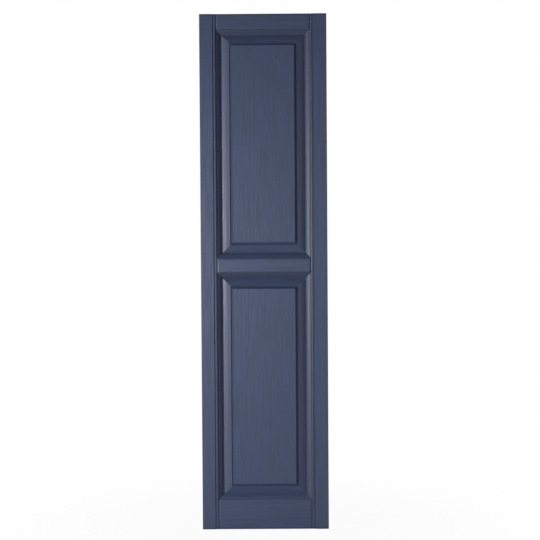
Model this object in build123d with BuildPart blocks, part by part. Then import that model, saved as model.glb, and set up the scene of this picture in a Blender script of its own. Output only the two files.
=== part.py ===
"""Raised panel window shutter: a rigid PVC frame of two hollow stiles and three
hollow rails that grip two moulded raised panels, one above the other.

Millimetres. X runs across the shutter, Z runs up, and the front faces -Y.
The back of the frame lies on the wall plane Y = 0, and the origin is the middle
of the mid rail's back. A depth is measured forwards from that wall plane."""

import os
from math import cos, radians, sin, tan

from build123d import *

# Overall size
shutter_width = 368.3
shutter_height = 1498.6
shutter_depth = 28.6

# Faces of the three rails, between the edges of the panel openings
top_rail_face = 45.1
mid_rail_face = 44.0
bottom_rail_face = 87.2
rail_setback = 1.0  # rail face behind the stile face
rail_edge_round = 1.6  # outer edge at the top and bottom of the shutter
rail_roll_width = 4.5  # soft edge beside a panel and at each end
rail_roll_fall = 1.3

# Stile extrusion: a flat face, a sunk line and a bead that rolls down to its inner edge
stile_width = 48.5
stile_edge_round = 2.0
stile_back_round = 0.8
bead_rise = 1.1  # quarter round on the side of the sunk line
bead_fall_width = 4.7
bead_fall = 2.9
bead_setback = 0.8  # crest of the bead behind the stile face
sunk_line_width = 5.2
sunk_line_depth = 2.7
sunk_line_draft = 1.6

# Walls of the hollow pieces
frame_wall = 2.0
panel_wall = 2.2
chamber_round = 0.8

# Slot in the stiles and rails that holds the edge of a panel
slot_setback = 5.8  # front of the slot behind the stile face
panel_flange = 9.0  # edge of the panel hidden in the slot
slot_clearance = 0.2
slot_end_clearance = 0.5
joint_gap = 0.15  # each end of a rail to its stile

# Relief of a raised panel, from the edge of its opening inwards
sight_gap = 0.3  # panel border to the frame edge beside it
sight_setback = 0.3  # panel border behind the foot of the stile's bead
ovolo_width = 14.2
ovolo_drop = 9.2
ovolo_start_angle = 18.0
toe_width = 13.4  # curved foot of the bevel
toe_angle = 28.0
bevel_width = 9.4
bevel_angle = 17.0
groove_width = 2.2
groove_depth = 2.5
shoulder_width = 6.4
shoulder_rise = 6.6

# Stiffening ribs moulded on the back of a panel
rib_thickness = 1.8
level_ribs = 5
upright_ribs = 2

# Plugs that close the ends of the stiles
plug_plate = 2.4
plug_edge_round = 0.4
plug_reach = 18.0
plug_wall = 1.8
plug_clearance = 0.25

# Heights, from the middle of the mid rail
opening_height = (shutter_height - top_rail_face - mid_rail_face - bottom_rail_face) / 2
mid_rail_top = mid_rail_face / 2
mid_rail_bottom = -mid_rail_face / 2
upper_opening_top = mid_rail_top + opening_height
lower_opening_bottom = mid_rail_bottom - opening_height
shutter_top = upper_opening_top + top_rail_face
shutter_bottom = lower_opening_bottom - bottom_rail_face
shutter_middle = (shutter_top + shutter_bottom) / 2

# Places across the shutter
outer_edge = -shutter_width / 2
stile_inner_edge = outer_edge + stile_width
opening_width = shutter_width - 2 * stile_width
rail_end = opening_width / 2 - joint_gap

# Depths, forwards from the wall plane
slot_front = shutter_depth - slot_setback
flange_front = slot_front - slot_clearance
flange_back = flange_front - panel_wall
slot_back = flange_back - slot_clearance
slot_depth = panel_flange + slot_end_clearance
rail_front = shutter_depth - rail_setback
rail_roll_foot = rail_front - rail_roll_fall
sunk_line_bottom = shutter_depth - sunk_line_depth
bead_crest = shutter_depth - bead_setback
bead_start = bead_crest - bead_rise
bead_foot = bead_crest - bead_fall
ovolo_top = bead_foot - sight_setback
valley_front = ovolo_top - ovolo_drop
toe_top = valley_front + toe_width * tan(radians((toe_angle + bevel_angle) / 2))
bevel_top = toe_top + bevel_width * tan(radians(bevel_angle))
groove_foot = bevel_top - groove_depth
field_front = groove_foot + shoulder_rise
field_back = field_front - panel_wall

# Distances in from the hidden edge of a panel to each line of its relief
ovolo_line = panel_flange + sight_gap
valley_line = ovolo_line + ovolo_width
toe_line = valley_line + toe_width
bevel_line = toe_line + bevel_width
groove_line = bevel_line + groove_width
field_line = groove_line + shoulder_width
panel_width = opening_width + 2 * panel_flange
panel_height = opening_height + 2 * panel_flange
field_width = panel_width - 2 * field_line
field_height = panel_height - 2 * field_line


def stile_outline(with_slot):
    """Closed outline of the left stile, seen from above, with or without its slot."""
    slot_floor = stile_inner_edge - slot_depth
    bead_top_x = stile_inner_edge - bead_fall_width
    bead_start_x = bead_top_x - bead_rise
    face_end = bead_start_x - sunk_line_width
    Polyline((outer_edge, -shutter_depth), (outer_edge, 0), (stile_inner_edge, 0))
    if with_slot:
        Polyline(
            (stile_inner_edge, 0),
            (stile_inner_edge, -slot_back),
            (slot_floor, -slot_back),
            (slot_floor, -slot_front),
            (stile_inner_edge, -slot_front),
            (stile_inner_edge, -bead_foot),
        )
    else:
        Line((stile_inner_edge, 0), (stile_inner_edge, -bead_foot))
    TangentArc((bead_top_x, -bead_crest), (stile_inner_edge, -bead_foot), tangent=(1, 0))
    TangentArc((bead_top_x, -bead_crest), (bead_start_x, -bead_start), tangent=(-1, 0))
    Polyline(
        (bead_start_x, -bead_start),
        (face_end + sunk_line_draft, -sunk_line_bottom),
        (face_end, -shutter_depth),
        (outer_edge, -shutter_depth),
    )


def stile_chamber(inset):
    """Closed outline of the hollow in the left stile, drawn in by inset."""
    low_x = outer_edge + frame_wall + inset
    step_x = stile_inner_edge - slot_depth - frame_wall - inset
    high_x = stile_inner_edge - frame_wall - inset
    low_y = -(frame_wall + inset)
    step_y = -(slot_back - frame_wall - inset)
    high_y = -(shutter_depth - frame_wall - inset)
    Polyline(
        (low_x, low_y),
        (high_x, low_y),
        (high_x, step_y),
        (step_x, step_y),
        (step_x, high_y),
        (low_x, high_y),
        close=True,
    )


# Left stile: one extrusion between its two end plugs
stile_length = shutter_height - 2 * plug_plate
with BuildPart() as left_stile:
    with BuildSketch(Plane.XY.offset(shutter_bottom + plug_plate)) as stile_section:
        with BuildLine():
            stile_outline(with_slot=True)
        make_face()
        front_corner = stile_section.vertices().group_by(Axis.X)[0].sort_by(Axis.Y)[0]
        fillet(front_corner, stile_edge_round)
        fillet(stile_section.vertices().group_by(Axis.Y)[-1], stile_back_round)
    extrude(amount=stile_length)
    with BuildSketch(Plane.XY.offset(shutter_bottom + plug_plate)) as chamber_section:
        with BuildLine():
            stile_chamber(inset=0)
        make_face()
        fillet(chamber_section.vertices(), chamber_round)
    extrude(amount=stile_length, mode=Mode.SUBTRACT)

with BuildPart() as right_stile:
    mirror(left_stile.part, about=Plane.YZ)


def end_plug():
    """Plug for the top of the left stile: a plate and a hollow spigot in the chamber."""
    with BuildPart() as plug:
        with BuildSketch(Plane.XY.offset(shutter_top - plug_plate)) as plate_section:
            with BuildLine():
                stile_outline(with_slot=False)
            make_face()
            front_corner = plate_section.vertices().group_by(Axis.X)[0].sort_by(Axis.Y)[0]
            fillet(front_corner, stile_edge_round)
            fillet(plate_section.vertices().group_by(Axis.Y)[-1], stile_back_round)
        extrude(amount=plug_plate)
        fillet(plug.faces().sort_by(Axis.Z)[-1].edges(), plug_edge_round)
        with BuildSketch(Plane.XY.offset(shutter_top - plug_plate)):
            with BuildLine():
                stile_chamber(inset=plug_clearance)
            make_face()
            with BuildLine():
                stile_chamber(inset=plug_clearance + plug_wall)
            make_face(mode=Mode.SUBTRACT)
        extrude(amount=-plug_reach)
    return plug.part


with BuildPart() as left_top_end_plug:
    add(end_plug())

with BuildPart() as right_top_end_plug:
    mirror(left_top_end_plug.part, about=Plane.YZ)

with BuildPart() as left_bottom_end_plug:
    mirror(left_top_end_plug.part, about=Plane.XY.offset(shutter_middle))

with BuildPart() as right_bottom_end_plug:
    mirror(left_bottom_end_plug.part, about=Plane.YZ)


def hollow_rail(low, high, slot_below, slot_above):
    """Rail between the stiles, from height low to high, slotted where a panel meets it."""
    face_low = low + (rail_roll_width if slot_below else 0)
    face_high = high - (rail_roll_width if slot_above else 0)
    core_low = low + frame_wall + (slot_depth if slot_below else 0)
    core_high = high - frame_wall - (slot_depth if slot_above else 0)
    with BuildPart() as rail:
        with BuildSketch(Plane.YZ) as rail_section:
            with BuildLine():
                Line((-rail_front, face_low), (-rail_front, face_high))
                if slot_above:
                    TangentArc((-rail_front, face_high), (-rail_roll_foot, high), tangent=(0, 1))
                    Line((-rail_roll_foot, high), (0, high))
                else:
                    Line((-rail_front, high), (0, high))
                if slot_below:
                    TangentArc((-rail_front, face_low), (-rail_roll_foot, low), tangent=(0, -1))
                    Line((-rail_roll_foot, low), (0, low))
                else:
                    Line((-rail_front, low), (0, low))
                Line((0, low), (0, high))
            make_face()
            face_corners = rail_section.vertices().group_by(Axis.X)[0].sort_by(Axis.Y)
            if not slot_below:
                fillet(face_corners[0], rail_edge_round)
            if not slot_above:
                fillet(face_corners[-1], rail_edge_round)
        extrude(amount=rail_end, both=True)
        with BuildSketch(Plane.XY.offset(low)):
            with BuildLine():
                Polyline(
                    (-rail_end, -rail_roll_foot),
                    (-rail_end, 0),
                    (rail_end, 0),
                    (rail_end, -rail_roll_foot),
                )
                TangentArc(
                    (rail_end - rail_roll_width, -rail_front),
                    (rail_end, -rail_roll_foot),
                    tangent=(1, 0),
                )
                TangentArc(
                    (rail_roll_width - rail_end, -rail_front),
                    (-rail_end, -rail_roll_foot),
                    tangent=(-1, 0),
                )
                Line(
                    (rail_roll_width - rail_end, -rail_front),
                    (rail_end - rail_roll_width, -rail_front),
                )
            make_face()
        extrude(amount=high - low, mode=Mode.INTERSECT)
        with BuildSketch(Plane.YZ) as rail_chamber:
            with Locations((-frame_wall, low + frame_wall)):
                Rectangle(
                    slot_back - 2 * frame_wall,
                    high - low - 2 * frame_wall,
                    align=(Align.MAX, Align.MIN),
                )
            with Locations((-frame_wall, core_low)):
                Rectangle(
                    rail_roll_foot - 2 * frame_wall,
                    core_high - core_low,
                    align=(Align.MAX, Align.MIN),
                )
            fillet(rail_chamber.vertices(), chamber_round)
        extrude(amount=opening_width / 2, both=True, mode=Mode.SUBTRACT)
        with BuildSketch(Plane.YZ):
            slot_gap = slot_front - slot_back
            if slot_below:
                with Locations((-slot_back, low)):
                    Rectangle(slot_gap, slot_depth, align=(Align.MAX, Align.MIN))
            if slot_above:
                with Locations((-slot_back, high)):
                    Rectangle(slot_gap, slot_depth, align=(Align.MAX, Align.MAX))
        extrude(amount=opening_width / 2, both=True, mode=Mode.SUBTRACT)
    return rail.part


with BuildPart() as top_rail:
    add(hollow_rail(upper_opening_top, shutter_top, slot_below=True, slot_above=False))

with BuildPart() as mid_rail:
    add(hollow_rail(mid_rail_bottom, mid_rail_top, slot_below=True, slot_above=True))

with BuildPart() as bottom_rail:
    add(hollow_rail(shutter_bottom, lower_opening_bottom, slot_below=False, slot_above=True))


def raised_panel(opening_bottom):
    """Panel moulded as one thin shell: flange, ovolo, bevel, groove, shoulder and field,
    with its border mitred at the corners and ribs across its back."""
    low = opening_bottom - panel_flange
    high = low + panel_height
    side = panel_width / 2
    relief = [
        (toe_line, toe_top),
        (bevel_line, bevel_top),
        (groove_line, groove_foot),
        (field_line, field_front),
    ]
    rib_points = [(valley_line, valley_front), *relief]
    rib_line = [(inward, depth - panel_wall / 2) for inward, depth in rib_points]
    with BuildPart() as panel:
        with BuildLine(Plane.XZ) as border:
            Polyline((0, low), (side, low), (side, high), (-side, high), (-side, low), close=True)
        with BuildSketch(Plane.YZ):
            with BuildLine():
                Polyline(
                    (-flange_front, low),
                    (-flange_front, low + ovolo_line),
                    (-ovolo_top, low + ovolo_line),
                )
                TangentArc(
                    (-ovolo_top, low + ovolo_line),
                    (-valley_front, low + valley_line),
                    tangent=(sin(radians(ovolo_start_angle)), cos(radians(ovolo_start_angle))),
                )
                TangentArc(
                    (-valley_front, low + valley_line),
                    (-toe_top, low + toe_line),
                    tangent=(-sin(radians(toe_angle)), cos(radians(toe_angle))),
                )
                Polyline(*[(-depth, low + inward) for inward, depth in relief])
                offset(amount=panel_wall, side=Side.RIGHT)
            make_face()
        sweep(path=border.line, transition=Transition.RIGHT)
        with BuildSketch(Plane.XZ.offset(field_back)):
            with Locations((0, (low + high) / 2)):
                Rectangle(field_width, field_height)
        extrude(amount=panel_wall)
        for number in range(1, level_ribs + 1):
            rib_height = low + field_line + number * field_height / (level_ribs + 1)
            with BuildSketch(Plane.XY.offset(rib_height)):
                with BuildLine():
                    left_half = [(inward - side, -depth) for inward, depth in rib_line]
                    right_half = [(side - inward, -depth) for inward, depth in reversed(rib_line)]
                    Polyline(*left_half, *right_half, close=True)
                make_face()
            extrude(amount=rib_thickness / 2, both=True)
        for number in range(1, upright_ribs + 1):
            rib_place = field_line - side + number * field_width / (upright_ribs + 1)
            with BuildSketch(Plane.YZ.offset(rib_place)):
                with BuildLine():
                    lower_half = [(-depth, low + inward) for inward, depth in rib_line]
                    upper_half = [(-depth, high - inward) for inward, depth in reversed(rib_line)]
                    Polyline(*lower_half, *upper_half, close=True)
                make_face()
            extrude(amount=rib_thickness / 2, both=True)
    return panel.part


with BuildPart() as upper_panel:
    add(raised_panel(mid_rail_top))

with BuildPart() as lower_panel:
    add(raised_panel(lower_opening_bottom))

pieces = {
    "left_stile": left_stile,
    "right_stile": right_stile,
    "top_rail": top_rail,
    "mid_rail": mid_rail,
    "bottom_rail": bottom_rail,
    "upper_panel": upper_panel,
    "lower_panel": lower_panel,
    "left_top_end_plug": left_top_end_plug,
    "right_top_end_plug": right_top_end_plug,
    "left_bottom_end_plug": left_bottom_end_plug,
    "right_bottom_end_plug": right_bottom_end_plug,
}

os.makedirs("parts", exist_ok=True)
for name, piece in pieces.items():
    piece.part.label = name
    export_step(piece.part, f"parts/{name}.step")
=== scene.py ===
"""Raised panel shutter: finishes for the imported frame, and a plain white studio."""

import math

import bmesh
import bpy
from bpy.props import FloatProperty, FloatVectorProperty, PointerProperty
from mathutils import Matrix, Vector


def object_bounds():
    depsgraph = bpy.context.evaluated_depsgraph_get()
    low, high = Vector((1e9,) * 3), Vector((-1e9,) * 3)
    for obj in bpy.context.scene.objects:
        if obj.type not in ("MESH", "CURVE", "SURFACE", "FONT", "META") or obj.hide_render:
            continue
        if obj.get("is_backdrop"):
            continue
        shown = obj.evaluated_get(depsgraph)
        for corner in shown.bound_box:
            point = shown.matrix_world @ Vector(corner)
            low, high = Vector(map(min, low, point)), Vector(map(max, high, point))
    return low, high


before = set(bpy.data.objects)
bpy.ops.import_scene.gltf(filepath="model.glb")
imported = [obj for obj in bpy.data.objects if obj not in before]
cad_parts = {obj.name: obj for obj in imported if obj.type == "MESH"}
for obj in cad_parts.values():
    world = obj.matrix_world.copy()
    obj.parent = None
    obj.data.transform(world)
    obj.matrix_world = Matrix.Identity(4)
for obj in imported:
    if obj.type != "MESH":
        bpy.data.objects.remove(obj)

bl_info = {
    "name": "Raised panel shutter",
    "version": (1, 0, 0),
    "blender": (4, 5, 0),
    "location": "View3D > Sidebar > Shutter",
    "description": "Embossed PVC finishes and a white studio for a raised panel shutter",
    "category": "Object",
}

STILES = ("left_stile", "right_stile")
RAILS = ("top_rail", "mid_rail", "bottom_rail")
PANELS = ("upper_panel", "lower_panel")
PLUGS = (
    "left_top_end_plug",
    "right_top_end_plug",
    "left_bottom_end_plug",
    "right_bottom_end_plug",
)
MM = 0.001
PVC_IOR = 1.5  # rigid PVC has about 1.53, and this matches the shutter's gloss


def linear(hex_colour):
    """Linear RGB of an sRGB hex colour."""
    channels = [int(hex_colour[i:i + 2], 16) / 255 for i in (1, 3, 5)]
    return [c / 12.92 if c <= 0.04045 else ((c + 0.055) / 1.055) ** 2.4 for c in channels]


def add_node(tree, kind, inputs=None, **settings):
    """Adds one node with its settings, and sets each input or links it to a node or socket."""
    node = tree.nodes.new(kind)
    for name, value in settings.items():
        setattr(node, name, value)
    for name, value in (inputs or {}).items():
        if isinstance(value, bpy.types.Node):
            value = next(output for output in value.outputs if output.enabled)
        if isinstance(value, bpy.types.NodeSocket):
            tree.links.new(value, node.inputs[name])
        else:
            node.inputs[name].default_value = value
    return node


class ShutterFinish(bpy.types.PropertyGroup):
    """Colours and embossed grain of the rigid PVC, with shade painted darker beside the panels and
    at the ends.
    """

    body: FloatVectorProperty(
        name="Body", description="Colour of the PVC, the same all through",
        subtype="COLOR", size=3, min=0, max=1, default=linear("#48506A"),
    )
    pore: FloatVectorProperty(
        name="Pore", description="Colour in the bottom of the embossed grain",
        subtype="COLOR", size=3, min=0, max=1, default=linear("#424A60"),
    )
    # Painted shade: this darker colour stands in for the shade in the recess round each panel and
    # at the two ends.
    recess: FloatVectorProperty(
        name="Recess", description="Colour in the recess round each panel and at the two ends",
        subtype="COLOR", size=3, min=0, max=1, default=linear("#3E4459"),
    )
    # Real pores are well under 1 mm wide and too fine for the render, so they are drawn as wide
    # and as long as they need to show there.
    pore_width: FloatProperty(
        name="Pore width", description="Width of one embossed pore line",
        subtype="DISTANCE", unit="LENGTH", min=0.0005, default=7 * MM,
    )
    pore_length: FloatProperty(
        name="Pore length", description="Length of one embossed pore line",
        subtype="DISTANCE", unit="LENGTH", min=0.005, default=120 * MM,
    )
    pore_depth: FloatProperty(
        name="Pore depth", description="Depth of the embossed grain",
        subtype="DISTANCE", unit="LENGTH", min=0, default=0.085 * MM,
    )
    ring_across: FloatProperty(
        name="Ring spacing across", description="Grain spacing at the sides of a panel's figure",
        subtype="DISTANCE", unit="LENGTH", min=0.001, default=11 * MM,
    )
    ring_along: FloatProperty(
        name="Ring spacing along", description="Spacing of the pointed arches up a panel's middle",
        subtype="DISTANCE", unit="LENGTH", min=0.005, default=80 * MM,
    )
    ring_tip: FloatProperty(
        name="Arch tip", description="Rounding at the point of each arch",
        subtype="DISTANCE", unit="LENGTH", min=0, default=12 * MM,
    )
    ring_stray: FloatProperty(
        name="Arch stray", description="Width within which the line of arches strays",
        subtype="DISTANCE", unit="LENGTH", min=0, default=50 * MM,
    )
    stray_length: FloatProperty(
        name="Stray length", description="Length over which the line of arches strays",
        subtype="DISTANCE", unit="LENGTH", min=0.01, default=200 * MM,
    )
    grit: FloatProperty(
        name="Grit", description="Size of the spots in the moulded grit of the plugs",
        subtype="DISTANCE", unit="LENGTH", min=0.0002, default=1.11 * MM,
    )
    flange: FloatProperty(
        name="Flange", description="Edge of a panel that is hidden in the slots",
        subtype="DISTANCE", unit="LENGTH", min=0, default=9 * MM,
    )
    border: FloatProperty(
        name="Border", description="Moulded border of a panel, from its hidden edge to its field",
        subtype="DISTANCE", unit="LENGTH", min=0.005, default=54.9 * MM,
    )
    # These widths place the painted shade beside the panels and at the ends.
    frame_edge: FloatProperty(
        name="Frame edge", description="Width of the dark edge of a stile or rail beside a panel",
        subtype="DISTANCE", unit="LENGTH", min=0.001, default=12 * MM,
    )
    panel_edge: FloatProperty(
        name="Panel edge", description="Width of the dark edge of a panel, inside its opening",
        subtype="DISTANCE", unit="LENGTH", min=0.001, default=14 * MM,
    )
    panel_fade: FloatProperty(
        name="Panel fade", description="Width over which a panel's dark edge fades out",
        subtype="DISTANCE", unit="LENGTH", min=0.0005, default=4 * MM,
    )
    end_edge: FloatProperty(
        name="End edge", description="Height of the dark edge at the top and bottom",
        subtype="DISTANCE", unit="LENGTH", min=0.001, default=7 * MM,
    )
    end_fade: FloatProperty(
        name="End fade", description="Height over which the dark edge at an end fades out",
        subtype="DISTANCE", unit="LENGTH", min=0.0005, default=2.5 * MM,
    )


class ShutterStage(bpy.types.PropertyGroup):
    """Camera, light and floor of the studio."""

    lens: FloatProperty(
        name="Lens", description="Focal length of the camera", unit="CAMERA", min=10, default=85,
    )
    camera_at: FloatVectorProperty(
        name="Camera", description="Place of the camera", subtype="TRANSLATION", unit="LENGTH",
        size=3, default=(0.0412, -3.7313, 0.0859),
    )
    yaw: FloatProperty(
        name="Yaw", description="Turn of the camera to the right",
        subtype="ANGLE", unit="ROTATION", default=math.radians(-0.378),
    )
    pitch: FloatProperty(
        name="Pitch", description="Tilt of the camera upwards",
        subtype="ANGLE", unit="ROTATION", default=math.radians(-1.532),
    )
    roll: FloatProperty(
        name="Roll", description="Roll of the camera about its view",
        subtype="ANGLE", unit="ROTATION", default=math.radians(-0.359),
    )
    key_at: FloatVectorProperty(
        name="Key", description="Middle of the soft box at the left",
        subtype="TRANSLATION", unit="LENGTH", size=3, default=(-3.195, -2.237, 0.0),
    )
    key_power: FloatProperty(
        name="Key power", description="Power of the soft box at the left",
        subtype="POWER", unit="POWER", min=0, default=82,
    )
    front_at: FloatVectorProperty(
        name="Front", description="Middle of the soft box in front, near the camera",
        subtype="TRANSLATION", unit="LENGTH", size=3, default=(-0.95, -3.78, -0.05),
    )
    front_power: FloatProperty(
        name="Front power", description="Power of the soft box in front",
        subtype="POWER", unit="POWER", min=0, default=43,
    )
    fill_at: FloatVectorProperty(
        name="Fill", description="Middle of the soft box at the right",
        subtype="TRANSLATION", unit="LENGTH", size=3, default=(1.65, -3.53, 0.0),
    )
    fill_power: FloatProperty(
        name="Fill power", description="Power of the soft box at the right",
        subtype="POWER", unit="POWER", min=0, default=15,
    )
    side_colour: FloatVectorProperty(
        name="Side colour", description="Colour of the soft boxes at the left and right",
        subtype="COLOR", size=3, min=0, max=1, default=linear("#F4F8FF"),
    )
    front_colour: FloatVectorProperty(
        name="Front colour", description="Cooler colour of the soft box in front",
        subtype="COLOR", size=3, min=0, max=1, default=linear("#DAEAFF"),
    )
    box_size: FloatProperty(
        name="Soft box", description="Width and height of each soft box",
        subtype="DISTANCE", unit="LENGTH", min=0.1, default=0.8,
    )
    room: FloatVectorProperty(
        name="Room", description="Light of the dim room in front of the shutter",
        subtype="COLOR", size=3, min=0, max=1, default=(0.015, 0.015, 0.016),
    )
    sweep: FloatVectorProperty(
        name="Sweep", description="Light of the white surroundings behind the shutter",
        subtype="COLOR", size=3, min=0, max=1, default=(0.7, 0.7, 0.7),
    )
    paper: FloatVectorProperty(
        name="Paper", description="Colour of the floor's paper, which takes the shadow",
        subtype="COLOR", size=3, min=0, max=1, default=linear("#E6E6E6"),
    )
    paper_white: FloatProperty(
        name="Paper white", description="Share of plain white in the floor close to the shutter",
        subtype="FACTOR", min=0, max=1, default=0.95,
    )
    floor_reach: FloatProperty(
        name="Floor", description="Reach of the floor from its middle to each side",
        subtype="DISTANCE", unit="LENGTH", min=0.5, default=1.6,
    )
    shadow_near: FloatProperty(
        name="Shadow near", description="Distance from the middle where the shadow starts to fade",
        subtype="DISTANCE", unit="LENGTH", min=0, default=0.2,
    )
    shadow_far: FloatProperty(
        name="Shadow far", description="Distance from the middle where the floor is all white",
        subtype="DISTANCE", unit="LENGTH", min=0.1, default=1.1,
    )


def new_material(name):
    """An empty node material, with the place on its piece."""
    material = bpy.data.materials.new(name)
    material.use_nodes = True
    tree = material.node_tree
    tree.nodes.clear()
    place = add_node(tree, "ShaderNodeTexCoord").outputs["Object"]
    return material, tree, place


def dress(material, *nodes):
    """Gives CAD nodes a material in their own slots."""
    for name in nodes:
        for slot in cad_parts[name].material_slots:
            slot.material = material


def streaks(tree, finish, place, level=False):
    """Embossed pore lines, as a height from 0 to 1, upright or level."""
    wide, tall = 1 / finish.pore_width, 1 / finish.pore_length
    scaled = add_node(
        tree, "ShaderNodeVectorMath",
        {0: place, 1: (tall, wide, wide) if level else (wide, wide, tall)},
        operation="MULTIPLY",
    )
    noise = add_node(
        tree, "ShaderNodeTexNoise",
        {"Vector": scaled, "Scale": 1.0, "Detail": 2.0, "Roughness": 0.5},
    )
    return add_node(
        tree, "ShaderNodeMapRange", {"Value": noise, "From Min": 0.34, "From Max": 0.62},
        interpolation_type="SMOOTHSTEP",
    )


def arches(tree, finish, place, middle):
    """Pore lines crossed by growth rings, which rise as pointed arches up a panel's middle."""
    split = add_node(tree, "ShaderNodeSeparateXYZ", {0: place})
    noise = add_node(
        tree, "ShaderNodeTexNoise",
        {"Vector": place, "Scale": 1 / finish.stray_length, "Detail": 1.0},
    )
    stray = add_node(
        tree, "ShaderNodeMapRange",
        {"Value": noise, "To Min": -finish.ring_stray / 2, "To Max": finish.ring_stray / 2},
    )
    side = add_node(
        tree, "ShaderNodeMath", {0: split.outputs["X"], 1: stray}, operation="ADD",
    )
    square = add_node(
        tree, "ShaderNodeMath", {0: side, 1: side, 2: finish.ring_tip ** 2},
        operation="MULTIPLY_ADD",
    )
    reach = add_node(tree, "ShaderNodeMath", {0: square}, operation="SQRT")
    height = add_node(
        tree, "ShaderNodeMath", {0: split.outputs["Z"], 1: middle}, operation="SUBTRACT",
    )
    rise = add_node(
        tree, "ShaderNodeMath", {0: height, 1: finish.ring_along}, operation="DIVIDE",
    )
    ring = add_node(
        tree, "ShaderNodeMath", {0: reach, 1: 1 / finish.ring_across, 2: rise},
        operation="MULTIPLY_ADD",
    )
    phase = add_node(tree, "ShaderNodeMath", {0: ring}, operation="FRACT")
    line = add_node(
        tree, "ShaderNodeMapRange",
        {"Value": phase, "From Min": 0.45, "From Max": 0.95, "To Min": 1.0, "To Max": 0.35},
        interpolation_type="SMOOTHSTEP",
    )
    return add_node(
        tree, "ShaderNodeMath", {0: line, 1: streaks(tree, finish, place)}, operation="MULTIPLY",
    )


def past_opening(tree, finish, place):
    """Distances past the sides (X) and the ends (Z) of the nearer panel opening.

    Both are negative inside it. The two openings mirror each other about Z = 0."""
    corners = [Vector(corner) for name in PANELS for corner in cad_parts[name].bound_box]
    half_width = max(corner.x for corner in corners) - finish.flange
    low = min(abs(corner.z) for corner in corners) + finish.flange
    high = max(abs(corner.z) for corner in corners) - finish.flange
    vector = place
    for offset in ((0, 0, (low + high) / 2), (half_width, 0, (high - low) / 2)):
        folded = add_node(tree, "ShaderNodeVectorMath", {0: vector}, operation="ABSOLUTE")
        vector = add_node(
            tree, "ShaderNodeVectorMath", {0: folded, 1: offset}, operation="SUBTRACT",
        )
    return add_node(tree, "ShaderNodeSeparateXYZ", {0: vector})


def painted_recess_shade(tree, finish, place):
    """Share of the painted shade colour: 1 beside the panels and at the ends, and 0 on the flats.
    """
    # Painted shade: a darker colour stands in for the shade in the recess beside each panel.
    past = past_opening(tree, finish, place)
    outside = add_node(
        tree, "ShaderNodeMath", {0: past.outputs["X"], 1: past.outputs["Z"]}, operation="MAXIMUM",
    )
    frame_side = add_node(
        tree, "ShaderNodeMapRange",
        {
            "Value": outside, "From Min": 0.0, "From Max": finish.frame_edge,
            "To Min": 1.0, "To Max": 0.0,
        },
        interpolation_type="SMOOTHSTEP",
    )
    panel_side = add_node(
        tree, "ShaderNodeMapRange",
        {
            "Value": outside,
            "From Min": -finish.panel_edge,
            "From Max": finish.panel_fade - finish.panel_edge,
        },
        interpolation_type="SMOOTHSTEP",
    )
    beside = add_node(
        tree, "ShaderNodeMath", {0: frame_side, 1: panel_side}, operation="MULTIPLY",
    )

    # Surfaces that face up are left out of the painted shade, so they stay lighter.
    facing = add_node(tree, "ShaderNodeTexCoord").outputs["Normal"]
    upward = add_node(tree, "ShaderNodeSeparateXYZ", {0: facing}).outputs["Z"]
    not_facing_up = add_node(
        tree, "ShaderNodeMapRange",
        {"Value": upward, "From Min": 0.05, "From Max": 0.35, "To Min": 1.0, "To Max": 0.0},
        interpolation_type="SMOOTHSTEP",
    )
    recess = add_node(tree, "ShaderNodeMath", {0: beside, 1: not_facing_up}, operation="MULTIPLY")

    # Painted shade also darkens a band at the top and bottom ends.
    bottom, top = (corner.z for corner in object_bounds())
    half_height = (top - bottom) / 2
    height = add_node(
        tree, "ShaderNodeVectorMath", {0: place, 1: (0, 0, (top + bottom) / 2)},
        operation="SUBTRACT",
    )
    height = add_node(tree, "ShaderNodeVectorMath", {0: height}, operation="ABSOLUTE")
    end = add_node(
        tree, "ShaderNodeMapRange",
        {
            "Value": add_node(tree, "ShaderNodeSeparateXYZ", {0: height}).outputs["Z"],
            "From Min": half_height - finish.end_edge,
            "From Max": half_height - finish.end_edge + finish.end_fade,
        },
        interpolation_type="SMOOTHSTEP",
    )
    return add_node(tree, "ShaderNodeMath", {0: recess, 1: end}, operation="MAXIMUM")


def pvc_surface(tree, finish, place, height):
    """Satin PVC with its grain from one height from 0 to 1: pores are darker, duller and sunk."""
    grain = add_node(
        tree, "ShaderNodeMix",
        {"Factor": height, "A": (*finish.pore, 1), "B": (*finish.body, 1)},
        data_type="RGBA",
    )
    # The painted shade colour is mixed over the grain beside the panels and at the ends.
    colour = add_node(
        tree, "ShaderNodeMix",
        {"Factor": painted_recess_shade(tree, finish, place), "A": grain, "B": (*finish.recess, 1)},
        data_type="RGBA",
    )
    rough = add_node(
        tree, "ShaderNodeMapRange", {"Value": height, "To Min": 0.44, "To Max": 0.39},
    )
    bump = add_node(
        tree, "ShaderNodeBump",
        {"Strength": 1.0, "Distance": finish.pore_depth, "Height": height},
    )
    shader = add_node(
        tree, "ShaderNodeBsdfPrincipled",
        {"Base Color": colour, "Roughness": rough, "Normal": bump, "IOR": PVC_IOR},
    )
    add_node(tree, "ShaderNodeOutputMaterial", {"Surface": shader})


class SHUTTER_OT_stiles(bpy.types.Operator):
    """Finish the two stiles as PVC extrusions embossed with upright grain."""

    bl_idname = "shutter.stiles"
    bl_label = "Stiles"

    def execute(self, context):
        # Extruded PVC, embossed by a roller: a satin skin with faint upright pore lines, and
        # painted shade on the bead where it turns down to the panels.
        finish = context.scene.shutter_finish
        material, tree, place = new_material("embossed_pvc_stile")
        pvc_surface(tree, finish, place, streaks(tree, finish, place))
        dress(material, *STILES)
        return {"FINISHED"}


class SHUTTER_OT_rails(bpy.types.Operator):
    """Finish the three rails as PVC extrusions embossed with level grain."""

    bl_idname = "shutter.rails"
    bl_label = "Rails"

    def execute(self, context):
        # The same extruded PVC laid level: its pore lines cross those of the stiles, as in a
        # joined wooden frame.
        finish = context.scene.shutter_finish
        material, tree, place = new_material("embossed_pvc_rail")
        pvc_surface(tree, finish, place, streaks(tree, finish, place, level=True))
        dress(material, *RAILS)
        return {"FINISHED"}


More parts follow.
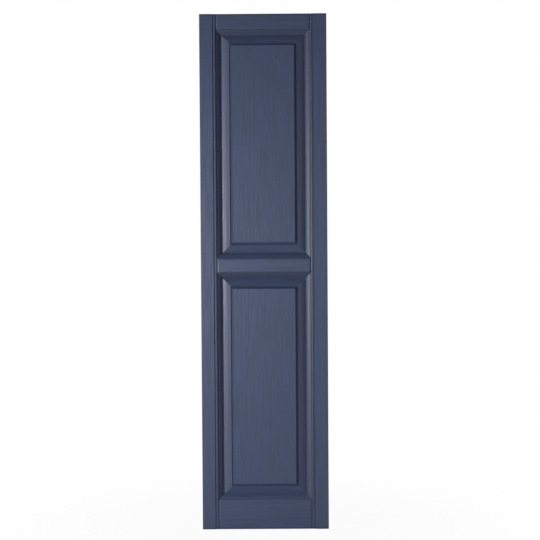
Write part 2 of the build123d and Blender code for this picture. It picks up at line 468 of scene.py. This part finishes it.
class SHUTTER_OT_panels(bpy.types.Operator):
    """Finish the raised panels as moulded PVC with arched grain and a mitred border."""

    bl_idname = "shutter.panels"
    bl_label = "Panels"

    def execute(self, context):
        # PVC moulded in a tool cut like a wooden panel: an arched figure up the field, and a border
        # whose end pieces have level grain and meet its sides in a mitre.
        finish = context.scene.shutter_finish
        for name in PANELS:
            corners = [Vector(corner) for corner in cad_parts[name].bound_box]
            middle = sum(corner.z for corner in corners) / len(corners)
            material, tree, place = new_material(f"embossed_pvc_{name}")
            past = past_opening(tree, finish, place)
            mitre = add_node(
                tree, "ShaderNodeMath",
                {0: past.outputs["X"], 1: finish.flange - finish.border}, operation="MAXIMUM",
            )
            end_piece = add_node(
                tree, "ShaderNodeMath", {0: past.outputs["Z"], 1: mitre},
                operation="GREATER_THAN",
            )
            height = add_node(
                tree, "ShaderNodeMix",
                {
                    "Factor": end_piece,
                    "A": arches(tree, finish, place, middle),
                    "B": streaks(tree, finish, place, level=True),
                },
            )
            pvc_surface(tree, finish, place, height)
            dress(material, name)
        return {"FINISHED"}


class SHUTTER_OT_plugs(bpy.types.Operator):
    """Finish the end plugs as plain moulded PVC."""

    bl_idname = "shutter.plugs"
    bl_label = "End plugs"

    def execute(self, context):
        # PVC moulded in a spark-eroded tool: the shutter's colour with a fine even grit and no
        # grain, darker with painted shade at the ends. Real grit is finer, and is drawn coarse
        # enough to show close up.
        finish = context.scene.shutter_finish
        material, tree, place = new_material("moulded_pvc_plug")
        spots = add_node(
            tree, "ShaderNodeTexNoise",
            {"Vector": place, "Scale": 1 / finish.grit, "Detail": 2.0},
        )
        pvc_surface(tree, finish, place, spots)
        dress(material, *PLUGS)
        return {"FINISHED"}


def rear_half(tree, place):
    """Share of the studio's rear half: 0 in front of the shutter and 1 behind it."""
    depth = add_node(tree, "ShaderNodeSeparateXYZ", {0: place}).outputs["Y"]
    return add_node(
        tree, "ShaderNodeMapRange", {"Value": depth, "From Min": 0.0, "From Max": 0.3},
        interpolation_type="SMOOTHSTEP",
    )


def white_share(tree, behind):
    """Share of rays that see plain white: the camera's, and behind the shutter those of gloss."""
    path = add_node(tree, "ShaderNodeLightPath")
    shiny = add_node(
        tree, "ShaderNodeMath",
        {0: path.outputs["Is Glossy Ray"], 1: path.outputs["Is Transmission Ray"]},
        operation="MAXIMUM",
    )
    shown = add_node(tree, "ShaderNodeMath", {0: shiny, 1: behind}, operation="MULTIPLY")
    return add_node(
        tree, "ShaderNodeMath", {0: path.outputs["Is Camera Ray"], 1: shown},
        operation="MAXIMUM",
    )


def paper_floor(scene, stage, level):
    """Adds the paper floor, which fades into the white background."""
    mesh = bpy.data.meshes.new("floor")
    grid = bmesh.new()
    bmesh.ops.create_grid(
        grid, x_segments=1, y_segments=1, size=stage.floor_reach,
        matrix=Matrix.Translation((0, 0, level)),
    )
    grid.to_mesh(mesh)
    grid.free()
    floor = bpy.data.objects.new("floor", mesh)
    scene.collection.objects.link(floor)

    # Uncoated white paper: an even white with no gloss, which keeps a faint shadow at the
    # shutter's foot.
    material, tree, place = new_material("white_paper_sweep")
    flat = add_node(
        tree, "ShaderNodeVectorMath", {0: place, 1: (1, 1, 0)}, operation="MULTIPLY",
    )
    away = add_node(tree, "ShaderNodeVectorMath", {0: flat}, operation="LENGTH")
    fade = add_node(
        tree, "ShaderNodeMapRange",
        {
            "Value": away, "From Min": stage.shadow_near, "From Max": stage.shadow_far,
            "To Min": stage.paper_white,
        },
        interpolation_type="SMOOTHSTEP",
    )
    seen = white_share(tree, rear_half(tree, place))
    share = add_node(tree, "ShaderNodeMath", {0: seen, 1: fade}, operation="MULTIPLY")
    paper = add_node(tree, "ShaderNodeBsdfDiffuse", {"Color": (*stage.paper, 1)})
    white = add_node(tree, "ShaderNodeEmission", {"Color": (1, 1, 1, 1), "Strength": 1.0})
    mix = add_node(tree, "ShaderNodeMixShader", {0: share, 1: paper, 2: white})
    add_node(tree, "ShaderNodeOutputMaterial", {"Surface": mix})
    mesh.materials.append(material)
    floor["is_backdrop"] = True


def soft_box(scene, name, at, size, power, colour):
    """Adds one upright soft box that faces the shutter and is not seen itself."""
    lamp = bpy.data.lights.new(name, "AREA")
    lamp.shape = "SQUARE"
    lamp.size = size
    lamp.energy = power
    lamp.color = colour
    box = bpy.data.objects.new(name, lamp)
    box.location = at
    aim = Vector((-at[0], -at[1], 0))
    box.rotation_euler = aim.to_track_quat("-Z", "Y").to_euler()
    box.visible_camera = False
    scene.collection.objects.link(box)


def white_world(scene, stage):
    """Adds the surroundings: a dim room in front, pale behind, and white to the camera."""
    world = bpy.data.worlds.new("white_studio")
    scene.world = world
    world.use_nodes = True
    tree = world.node_tree
    tree.nodes.clear()
    behind = rear_half(tree, add_node(tree, "ShaderNodeTexCoord").outputs["Generated"])
    light = add_node(
        tree, "ShaderNodeMix",
        {"Factor": behind, "A": (*stage.room, 1), "B": (*stage.sweep, 1)}, data_type="RGBA",
    )
    colour = add_node(
        tree, "ShaderNodeMix",
        {"Factor": white_share(tree, behind), "A": light, "B": (1, 1, 1, 1)}, data_type="RGBA",
    )
    back = add_node(tree, "ShaderNodeBackground", {"Color": colour, "Strength": 1.0})
    add_node(tree, "ShaderNodeOutputWorld", {"Surface": back})


def front_camera(scene, stage):
    """Adds the camera, nearly level in front of the shutter."""
    view = bpy.data.cameras.new("camera")
    view.lens = stage.lens
    camera = bpy.data.objects.new("camera", view)
    turn = (
        Matrix.Rotation(-stage.yaw, 3, "Z")
        @ Matrix.Rotation(math.pi / 2 + stage.pitch, 3, "X")
        @ Matrix.Rotation(stage.roll, 3, "Z")
    )
    camera.matrix_world = Matrix.Translation(stage.camera_at) @ turn.to_4x4()
    scene.collection.objects.link(camera)
    scene.camera = camera


class SHUTTER_OT_stage(bpy.types.Operator):
    """Set up the floor, the soft light, the white surroundings and the camera."""

    bl_idname = "shutter.stage"
    bl_label = "Stage"

    def execute(self, context):
        scene = context.scene
        stage = scene.shutter_stage
        scene.view_settings.view_transform = "Standard"
        paper_floor(scene, stage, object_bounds()[0].z)
        for name, at, power, colour in (
            ("key_box", stage.key_at, stage.key_power, stage.side_colour),
            ("front_box", stage.front_at, stage.front_power, stage.front_colour),
            ("fill_box", stage.fill_at, stage.fill_power, stage.side_colour),
        ):
            soft_box(scene, name, at, stage.box_size, power, colour)
        white_world(scene, stage)
        front_camera(scene, stage)
        return {"FINISHED"}


class SHUTTER_PT_panel(bpy.types.Panel):
    """Lists the shutter's finishes and stage."""

    bl_label = "Raised panel shutter"
    bl_idname = "SHUTTER_PT_panel"
    bl_space_type = "VIEW_3D"
    bl_region_type = "UI"
    bl_category = "Shutter"

    def draw(self, context):
        layout = self.layout
        for group in (context.scene.shutter_finish, context.scene.shutter_stage):
            for name in group.__annotations__:
                layout.prop(group, name)
        for operator in OPERATORS:
            layout.operator(operator.bl_idname)


GROUPS = (ShutterFinish, ShutterStage)
OPERATORS = (
    SHUTTER_OT_stiles,
    SHUTTER_OT_rails,
    SHUTTER_OT_panels,
    SHUTTER_OT_plugs,
    SHUTTER_OT_stage,
)


def register():
    for item in (*GROUPS, *OPERATORS, SHUTTER_PT_panel):
        bpy.utils.register_class(item)
    bpy.types.Scene.shutter_finish = PointerProperty(type=ShutterFinish)
    bpy.types.Scene.shutter_stage = PointerProperty(type=ShutterStage)


def unregister():
    del bpy.types.Scene.shutter_stage
    del bpy.types.Scene.shutter_finish
    for item in reversed((*GROUPS, *OPERATORS, SHUTTER_PT_panel)):
        bpy.utils.unregister_class(item)


def main():
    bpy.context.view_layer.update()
    register()
    bpy.ops.shutter.stiles()
    bpy.ops.shutter.rails()
    bpy.ops.shutter.panels()
    bpy.ops.shutter.plugs()
    bpy.ops.shutter.stage()


if __name__ == "__main__":
    main()
